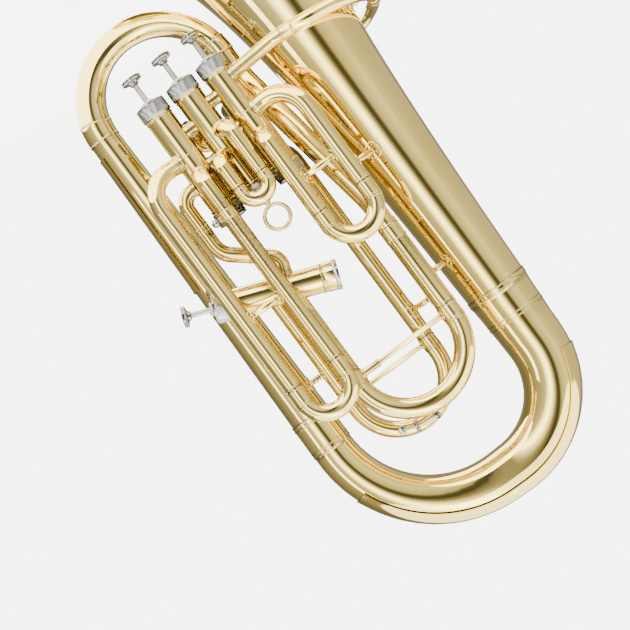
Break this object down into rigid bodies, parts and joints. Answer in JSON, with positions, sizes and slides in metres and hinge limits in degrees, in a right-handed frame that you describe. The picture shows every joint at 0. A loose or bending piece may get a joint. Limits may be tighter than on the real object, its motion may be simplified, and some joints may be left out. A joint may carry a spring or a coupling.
{
  "type": "tenor tuba",
  "caption": "Valved brass horn with a flared bell, wrapped conical tubing, piston valves, pull-out tuning slides, a water key and a removable mouthpiece.",
  "frame": {"origin": "on the plane of the bell rim, under the middle of the instrument's bounding box", "axes": "+Z from the bell rim to the bottom bow, along the valves and the slides; +X from the bell to the outer branch; -Y is the valve side"},
  "size_m": [0.4045, 0.29, 0.6639],
  "materials": {
    "lacquered_brass": "polished, clear lacquer",
    "guard_plate": "polished, fine handling scratches",
    "nickel_silver": "polished nickel plate",
    "silver_plate": "polished silver plate",
    "piston_metal": "honed",
    "spring_steel": "drawn wire"
  },
  "bodies": {
    "instrument": {"bell": "lacquered_brass", "bottom_bow": "lacquered_brass", "outer_branch": "lacquered_brass", "top_bow": "lacquered_brass", "inner_branch": "lacquered_brass", "leadpipe": "lacquered_brass", "transfer_tube": "lacquered_brass", "compensating_loop": "lacquered_brass", "main_slide_sleeve_near": "lacquered_brass", "main_slide_sleeve_far": "lacquered_brass", "slide_1_sleeve_near": "lacquered_brass", "slide_1_sleeve_far": "lacquered_brass", "slide_2_sleeve_near": "lacquered_brass", "slide_2_sleeve_far": "lacquered_brass", "slide_3_sleeve_near": "lacquered_brass", "slide_3_sleeve_far": "lacquered_brass", "slide_4_sleeve_near": "lacquered_brass", "slide_4_sleeve_far": "lacquered_brass", "valve_casing_1": "lacquered_brass", "valve_casing_2": "lacquered_brass", "valve_casing_3": "lacquered_brass", "valve_casing_4": "lacquered_brass", "bell_brace_upper": "lacquered_brass", "bell_brace_lower": "lacquered_brass", "branch_brace_front": "lacquered_brass", "branch_brace_back": "lacquered_brass", "bow_guard": "guard_plate", "branch_guard": "guard_plate", "mouthpiece_receiver": "nickel_silver", "top_cap_1": "nickel_silver", "top_cap_2": "nickel_silver", "top_cap_3": "nickel_silver", "top_cap_4": "nickel_silver", "bottom_cap_1": "nickel_silver", "bottom_cap_2": "nickel_silver", "bottom_cap_3": "nickel_silver", "bottom_cap_4": "nickel_silver", "valve_spring_1": "spring_steel", "valve_spring_2": "spring_steel", "valve_spring_3": "spring_steel", "valve_spring_4": "spring_steel"},
    "valve_1": {"piston_1": "piston_metal", "button_1": "nickel_silver"},
    "valve_2": {"piston_2": "piston_metal", "button_2": "nickel_silver"},
    "valve_3": {"piston_3": "piston_metal", "button_3": "nickel_silver"},
    "valve_4": {"piston_4": "piston_metal", "button_4": "nickel_silver"},
    "main_slide": {"main_slide": "lacquered_brass", "main_slide_brace": "lacquered_brass"},
    "slide_1": {"slide_1": "lacquered_brass"},
    "slide_2": {"slide_2": "lacquered_brass", "pull_ring": "lacquered_brass"},
    "slide_3": {"slide_3": "lacquered_brass"},
    "slide_4": {"slide_4": "lacquered_brass", "slide_4_brace": "lacquered_brass"},
    "water_key": {"water_key": "nickel_silver"},
    "thumb_screw": {"thumb_screw": "nickel_silver"},
    "mouthpiece": {"mouthpiece": "silver_plate"}
  },
  "joints": [
    {"name": "valve_1_press", "type": "slide", "parent": "instrument", "child": "valve_1", "axis": [0, 0, 1], "range_m": [0, 0.016], "stiffness_N_per_m": 150, "springref_m": -0.02, "deforming": ["valve_spring_1"]},
    {"name": "valve_2_press", "type": "slide", "parent": "instrument", "child": "valve_2", "axis": [0, 0, 1], "range_m": [0, 0.016], "stiffness_N_per_m": 150, "springref_m": -0.02, "deforming": ["valve_spring_2"]},
    {"name": "valve_3_press", "type": "slide", "parent": "instrument", "child": "valve_3", "axis": [0, 0, 1], "range_m": [0, 0.016], "stiffness_N_per_m": 150, "springref_m": -0.02, "deforming": ["valve_spring_3"]},
    {"name": "valve_4_press", "type": "slide", "parent": "instrument", "child": "valve_4", "axis": [-0.9348, 0, 0.3551], "range_m": [0, 0.016], "stiffness_N_per_m": 150, "springref_m": -0.02, "deforming": ["valve_spring_4"]},
    {"name": "main_slide_pull", "type": "slide", "parent": "instrument", "child": "main_slide", "axis": [0, 0, 1], "range_m": [0, 0.045]},
    {"name": "slide_1_pull", "type": "slide", "parent": "instrument", "child": "slide_1", "axis": [0, 0, 1], "range_m": [0, 0.04]},
    {"name": "slide_2_pull", "type": "slide", "parent": "instrument", "child": "slide_2", "axis": [0, 0, 1], "range_m": [0, 0.014]},
    {"name": "slide_3_pull", "type": "slide", "parent": "instrument", "child": "slide_3", "axis": [0, 0, 1], "range_m": [0, 0.05]},
    {"name": "slide_4_pull", "type": "slide", "parent": "instrument", "child": "slide_4", "axis": [0, 0, 1], "range_m": [0, 0.036]},
    {"name": "water_key_rock", "type": "hinge", "parent": "slide_4", "child": "water_key", "pos_m": [0.08271, -0.021, 0.54665], "axis": [0.225, 0, 0.9744], "range_deg": [-12, 0], "stiffness_Nm_per_rad": 0.05, "springref_deg": 17.19},
    {"name": "thumb_screw_turn", "type": "hinge", "parent": "instrument", "child": "thumb_screw", "pos_m": [0.1152, -0.062, 0.2832], "axis": [1, 0, 0], "continuous": true},
    {"name": "mouthpiece_pull", "type": "slide", "parent": "instrument", "child": "mouthpiece", "axis": [0.9397, 0.342, 0], "range_m": [0, 0.03]}
  ]
}
